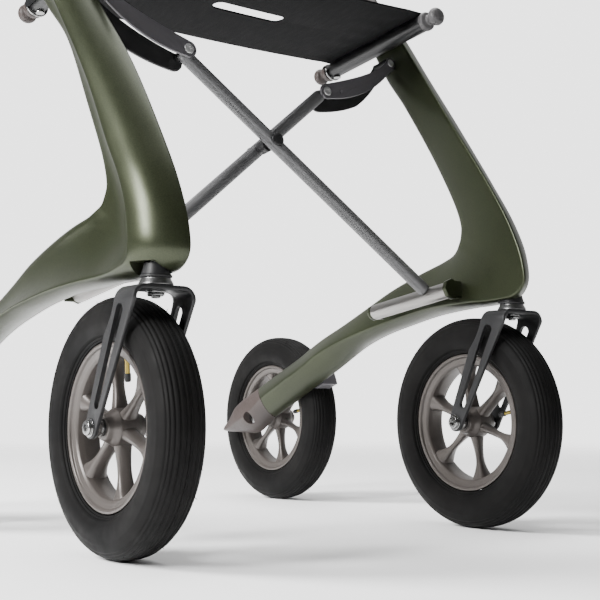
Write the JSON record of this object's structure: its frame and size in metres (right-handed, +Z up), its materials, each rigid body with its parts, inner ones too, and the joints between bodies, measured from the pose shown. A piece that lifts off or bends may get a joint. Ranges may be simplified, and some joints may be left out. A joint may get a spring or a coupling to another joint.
{
  "type": "rollator walker",
  "caption": "Four-wheeled folding rollator with pneumatic tyres, swivelling front forks, cross-braced side frames, fabric sling seat, height-adjustable handles and brakes.",
  "frame": {"origin": "on the floor, midway between the two axles and between the two sides", "axes": "+Z up, +X to the user's left, -Y is the direction of travel"},
  "size_m": [0.664, 0.745, 0.886],
  "materials": {
    "frame_paint": "olive green metallic, satin gloss",
    "gunmetal": "matte gunmetal powder coat",
    "tyre_rubber": "satin black rubber",
    "rim_alloy": "champagne grey satin",
    "steel": "zinc-plated steel",
    "brushed_tube": "satin",
    "black_plastic": "matte black",
    "plate_grey": "satin dark grey",
    "taupe_plastic": "satin taupe",
    "grip_rubber": "soft-touch black",
    "seat_fabric": "woven black nylon"
  },
  "bodies": {
    "right_frame": {"side_frame_right": "frame_paint", "kerb_pedal_right": "taupe_plastic", "steering_cap_right": "black_plastic", "rear_axle_right": "steel", "pivot_bracket_front_right": "black_plastic", "pivot_bracket_rear_right": "black_plastic", "link_bracket_right": "black_plastic", "seat_rail_right": "black_plastic", "rail_knob_front_right": "taupe_plastic", "rail_knob_rear_right": "taupe_plastic", "post_collar_right": "taupe_plastic", "seat_sling": "seat_fabric"},
    "left_frame": {"side_frame_left": "frame_paint", "kerb_pedal_left": "taupe_plastic", "steering_cap_left": "black_plastic", "rear_axle_left": "steel", "pivot_bracket_front_left": "black_plastic", "pivot_bracket_rear_left": "black_plastic", "link_bracket_left": "black_plastic", "seat_rail_left": "black_plastic", "rail_knob_front_left": "taupe_plastic", "rail_knob_rear_left": "taupe_plastic", "post_collar_left": "taupe_plastic"},
    "rear_brace": {"cross_tube_rear": "gunmetal", "pivot_tube_right": "brushed_tube"},
    "front_brace": {"cross_tube_front": "gunmetal", "pivot_tube_left": "brushed_tube", "cross_pivot_pin": "taupe_plastic"},
    "right_link": {"link_front_right": "plate_grey", "link_rear_right": "black_plastic"},
    "right_fork": {"fork_right": "gunmetal", "fork_stem_right": "steel", "front_axle_right": "steel"},
    "right_front_wheel": {"front_tyre_right": "tyre_rubber", "front_rim_right": "rim_alloy"},
    "right_rear_wheel": {"rear_tyre_right": "tyre_rubber", "rear_rim_right": "rim_alloy"},
    "right_handle": {"handle_post_right": "taupe_plastic", "grip_right": "grip_rubber", "lever_housing_right": "black_plastic"},
    "right_button": {"height_button_right": "steel"},
    "right_lever": {"brake_lever_right": "black_plastic"},
    "right_brake": {"brake_shoe_right": "plate_grey"},
    "left_link": {"link_front_left": "plate_grey", "link_rear_left": "black_plastic"},
    "left_fork": {"fork_left": "gunmetal", "fork_stem_left": "steel", "front_axle_left": "steel"},
    "left_front_wheel": {"front_tyre_left": "tyre_rubber", "front_rim_left": "rim_alloy"},
    "left_rear_wheel": {"rear_tyre_left": "tyre_rubber", "rear_rim_left": "rim_alloy"},
    "left_handle": {"handle_post_left": "taupe_plastic", "grip_left": "grip_rubber", "lever_housing_left": "black_plastic"},
    "left_button": {"height_button_left": "steel"},
    "left_lever": {"brake_lever_left": "black_plastic"},
    "left_brake": {"brake_shoe_left": "plate_grey"}
  },
  "joints": [
    {"name": "fold", "type": "hinge", "parent": "right_frame", "child": "rear_brace", "pos_m": [-0.215, -0.16482, 0.27949], "axis": [0, -0.9903, 0.1392], "range_deg": [0, 38], "deforming": ["seat_sling"]},
    {"name": "cross_pivot", "type": "hinge", "parent": "rear_brace", "child": "front_brace", "pos_m": [0, -0.14123, 0.45451], "axis": [0, -0.9903, 0.1392], "range_deg": [-77, 1]},
    {"name": "left_frame_pivot", "type": "hinge", "parent": "front_brace", "child": "left_frame", "pos_m": [0.215, -0.1975, 0.28408], "axis": [0, -0.9903, 0.1392], "range_deg": [-1, 39]},
    {"name": "right_link_pivot", "type": "hinge", "parent": "right_frame", "child": "right_link", "pos_m": [-0.228, -0.12992, 0.60682], "axis": [0, -0.9903, 0.1392], "range_deg": [-1, 87.3]},
    {"name": "left_link_pivot", "type": "hinge", "parent": "left_frame", "child": "left_link", "pos_m": [0.228, -0.09724, 0.60223], "axis": [0, -0.9903, 0.1392], "range_deg": [-87.3, 1]},
    {"name": "right_swivel", "type": "hinge", "parent": "right_frame", "child": "right_fork", "pos_m": [-0.243, -0.3084, 0.2673], "axis": [0, 0, 1], "continuous": true},
    {"name": "right_front_wheel_spin", "type": "hinge", "parent": "right_fork", "child": "right_front_wheel", "pos_m": [-0.243, -0.2455, 0.127], "axis": [1, 0, 0], "continuous": true},
    {"name": "right_rear_wheel_spin", "type": "hinge", "parent": "right_frame", "child": "right_rear_wheel", "pos_m": [-0.306, 0.2455, 0.127], "axis": [1, 0, 0], "continuous": true},
    {"name": "right_handle_height", "type": "slide", "parent": "right_frame", "child": "right_handle", "axis": [0, 0.6141, 0.7892], "range_m": [-0.025, 0.05]},
    {"name": "right_button_press", "type": "slide", "parent": "right_frame", "child": "right_button", "axis": [0, -0.7892, 0.6141], "range_m": [0, 0.003], "stiffness_N_per_m": 400},
    {"name": "right_lever_squeeze", "type": "hinge", "parent": "right_handle", "child": "right_lever", "pos_m": [-0.256, 0.1405, 0.838], "axis": [1, 0, 0], "range_deg": [0, 12], "stiffness_Nm_per_rad": 1.5},
    {"name": "right_brake_apply", "type": "hinge", "parent": "right_frame", "child": "right_brake", "pos_m": [-0.283, 0.0995, 0.208], "axis": [1, 0, 0], "range_deg": [-0.5, 6.5]},
    {"name": "left_swivel", "type": "hinge", "parent": "left_frame", "child": "left_fork", "pos_m": [0.243, -0.3084, 0.2673], "axis": [0, 0, 1], "continuous": true},
    {"name": "left_front_wheel_spin", "type": "hinge", "parent": "left_fork", "child": "left_front_wheel", "pos_m": [0.243, -0.2455, 0.127], "axis": [1, 0, 0], "continuous": true},
    {"name": "left_rear_wheel_spin", "type": "hinge", "parent": "left_frame", "child": "left_rear_wheel", "pos_m": [0.306, 0.2455, 0.127], "axis": [1, 0, 0], "continuous": true},
    {"name": "left_handle_height", "type": "slide", "parent": "left_frame", "child": "left_handle", "axis": [0, 0.6141, 0.7892], "range_m": [-0.025, 0.05]},
    {"name": "left_button_press", "type": "slide", "parent": "left_frame", "child": "left_button", "axis": [0, -0.7892, 0.6141], "range_m": [0, 0.003], "stiffness_N_per_m": 400},
    {"name": "left_lever_squeeze", "type": "hinge", "parent": "left_handle", "child": "left_lever", "pos_m": [0.256, 0.1405, 0.838], "axis": [1, 0, 0], "range_deg": [0, 12], "stiffness_Nm_per_rad": 1.5},
    {"name": "left_brake_apply", "type": "hinge", "parent": "left_frame", "child": "left_brake", "pos_m": [0.283, 0.0995, 0.208], "axis": [1, 0, 0], "range_deg": [-0.5, 6.5]}
  ],
  "couplings": [
    {"joint": "cross_pivot", "follows": "fold", "ratio": -2},
    {"joint": "left_frame_pivot", "follows": "fold", "ratio": 1},
    {"joint": "right_link_pivot", "follows": "fold", "ratio": 2.245},
    {"joint": "left_link_pivot", "follows": "fold", "ratio": -2.245},
    {"joint": "right_brake_apply", "follows": "right_lever_squeeze", "ratio": 0.38},
    {"joint": "left_brake_apply", "follows": "left_lever_squeeze", "ratio": 0.38}
  ]
}
